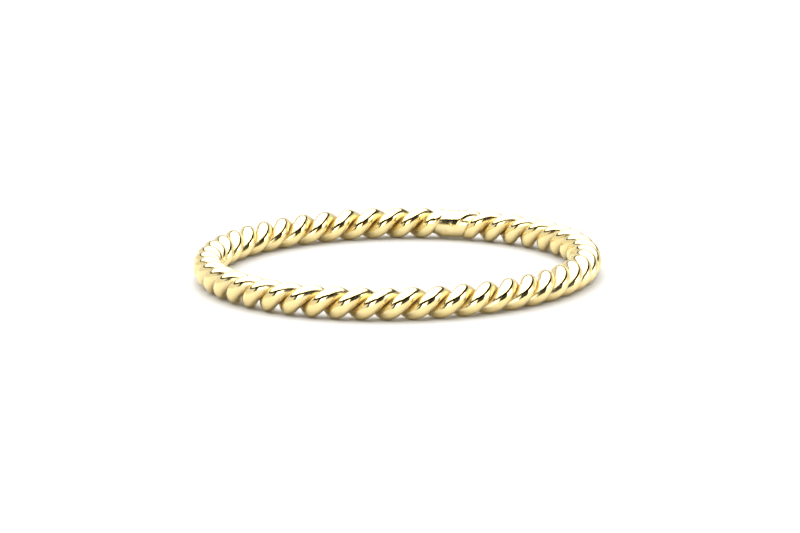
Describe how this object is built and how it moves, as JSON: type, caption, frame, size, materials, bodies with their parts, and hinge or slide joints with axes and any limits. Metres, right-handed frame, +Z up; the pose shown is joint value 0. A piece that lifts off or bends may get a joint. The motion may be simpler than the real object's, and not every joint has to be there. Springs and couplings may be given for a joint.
{
  "type": "stackable ring",
  "caption": "Slim stacking ring of two round gold wires twisted into a rope and soldered closed.",
  "frame": {"origin": "middle of the ring, on the surface it lies on", "axes": "+Z up, along the finger through the ring; -Y the front; the soldered joint is at the back, 18 degrees from +Y towards +X"},
  "size_m": [0.0204, 0.0204, 0.0016],
  "materials": {
    "gold": "polished yellow gold"
  },
  "bodies": {
    "root": {"twisted_band": "gold"}
  },
  "joints": []
}
